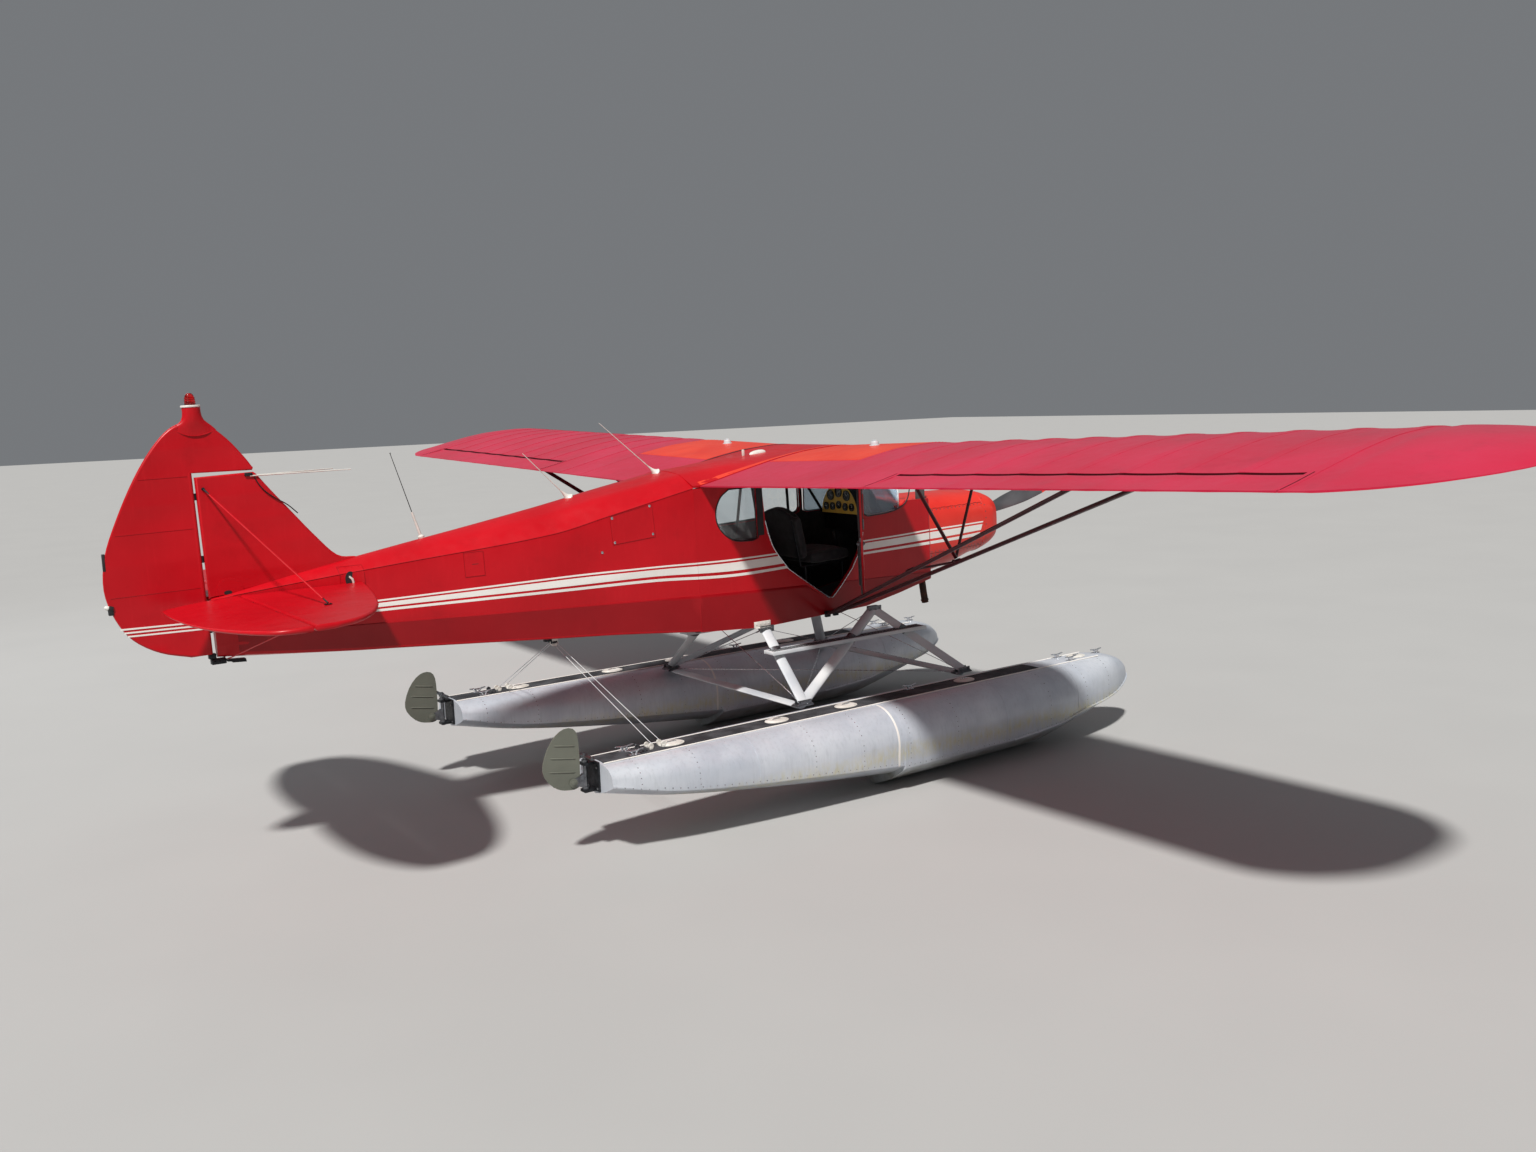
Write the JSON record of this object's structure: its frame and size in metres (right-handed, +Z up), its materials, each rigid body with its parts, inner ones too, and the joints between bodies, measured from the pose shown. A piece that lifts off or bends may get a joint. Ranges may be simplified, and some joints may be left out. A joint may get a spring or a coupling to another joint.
{
  "type": "high-wing floatplane",
  "caption": "Fabric-covered high-wing cabin aeroplane with a tapered fuselage, braced wings and tail, on twin stepped floats with lifting water rudders.",
  "frame": {"origin": "middle of the bounding box at the floor, under the float keels", "axes": "+X towards the nose, +Y towards the pilot's left, +Z up"},
  "size_m": [7.0942, 10.81, 2.7908],
  "materials": {
    "fabric_red": "gloss",
    "cowl_paint": "satin",
    "strut_paint": "satin",
    "steel": "satin",
    "engine_metal": "matte",
    "clear": "gloss",
    "panel_gold": "satin",
    "seat_cover": "matte",
    "float_metal": "satin",
    "walkway": "matte",
    "blade_paint": "matte",
    "propeller_paint": "matte",
    "lamp": "gloss"
  },
  "bodies": {
    "airframe": {"wing_right": "fabric_red", "wing_left": "fabric_red", "front_lift_strut_right": "strut_paint", "rear_lift_strut_right": "strut_paint", "jury_strut_right": "strut_paint", "front_lift_strut_left": "strut_paint", "rear_lift_strut_left": "strut_paint", "jury_strut_left": "strut_paint", "cabin_side_right": "fabric_red", "cabin_side_left": "fabric_red", "cabin_roof": "fabric_red", "cabin_floor": "fabric_red", "firewall": "steel", "nose_deck": "cowl_paint", "windscreen": "clear", "engine_cowl": "cowl_paint", "nose_bowl": "cowl_paint", "engine_block": "engine_metal", "exhaust_pipe": "steel", "aft_fuselage": "fabric_red", "fin": "fabric_red", "stabilizer_right": "fabric_red", "stabilizer_left": "fabric_red", "rear_window_right": "clear", "rear_window_left": "clear", "side_window_left": "clear", "instrument_panel": "panel_gold", "front_seat": "seat_cover", "rear_seat": "seat_cover", "tail_wires": "steel", "tail_foot": "steel", "float_right": "float_metal", "float_left": "float_metal", "float_struts_right": "float_metal", "float_struts_left": "float_metal", "spreader_bar_front": "float_metal", "spreader_bar_rear": "float_metal", "float_deck_right": "walkway", "float_deck_left": "walkway", "stern_bracket_right": "float_metal", "stern_bracket_left": "float_metal"},
    "propeller": {"propeller": "propeller_paint"},
    "rudder": {"rudder": "fabric_red", "beacon": "lamp"},
    "elevators": {"elevators": "fabric_red"},
    "aileron_right": {"aileron_right": "fabric_red"},
    "aileron_left": {"aileron_left": "fabric_red"},
    "cabin_door": {"cabin_door": "fabric_red", "door_window": "clear"},
    "steering_post_right": {"steering_post_right": "float_metal"},
    "steering_post_left": {"steering_post_left": "float_metal"},
    "water_rudder_right": {"water_rudder_right": "blade_paint"},
    "water_rudder_left": {"water_rudder_left": "blade_paint"}
  },
  "joints": [
    {"name": "propeller_spin", "type": "hinge", "parent": "airframe", "child": "propeller", "pos_m": [2.99078, 0, 1.63868], "axis": [0.9998, 0, 0.0215], "continuous": true},
    {"name": "rudder_hinge", "type": "hinge", "parent": "airframe", "child": "rudder", "pos_m": [-3.04355, 0, 1.8692], "axis": [-0.0215, 0, 0.9998], "range_deg": [-25, 25]},
    {"name": "elevator_hinge", "type": "hinge", "parent": "airframe", "child": "elevators", "pos_m": [-2.8805, 0, 1.63565], "axis": [0, 1, 0], "range_deg": [-20, 25]},
    {"name": "aileron_right_hinge", "type": "hinge", "parent": "airframe", "child": "aileron_right", "pos_m": [0.2762, -3.362, 2.19593], "axis": [0.0006, 0.9996, -0.0297], "range_deg": [-18, 18]},
    {"name": "aileron_left_hinge", "type": "hinge", "parent": "airframe", "child": "aileron_left", "pos_m": [0.2762, 3.362, 2.19593], "axis": [-0.0006, 0.9996, 0.0297], "range_deg": [-18, 18]},
    {"name": "door_hinge", "type": "hinge", "parent": "airframe", "child": "cabin_door", "pos_m": [1.45485, -0.3913, 1.66572], "axis": [-0.0215, 0, 0.9998], "range_deg": [-50, 15]},
    {"name": "water_steer_right", "type": "hinge", "parent": "airframe", "child": "steering_post_right", "pos_m": [-1.29093, -1.083, 0.502], "axis": [0, 0, 1], "range_deg": [-25, 25]},
    {"name": "water_lift_right", "type": "hinge", "parent": "steering_post_right", "child": "water_rudder_right", "pos_m": [-1.37493, -1.083, 0.478], "axis": [0, -1, 0], "range_deg": [0, 110]},
    {"name": "water_steer_left", "type": "hinge", "parent": "airframe", "child": "steering_post_left", "pos_m": [-1.29093, 1.083, 0.502], "axis": [0, 0, 1], "range_deg": [-25, 25]},
    {"name": "water_lift_left", "type": "hinge", "parent": "steering_post_left", "child": "water_rudder_left", "pos_m": [-1.37493, 1.083, 0.478], "axis": [0, -1, 0], "range_deg": [0, 110]}
  ],
  "couplings": [
    {"joint": "aileron_left_hinge", "follows": "aileron_right_hinge", "ratio": -1},
    {"joint": "water_steer_right", "follows": "rudder_hinge", "ratio": 1},
    {"joint": "water_steer_left", "follows": "rudder_hinge", "ratio": 1},
    {"joint": "water_lift_left", "follows": "water_lift_right", "ratio": 1}
  ]
}
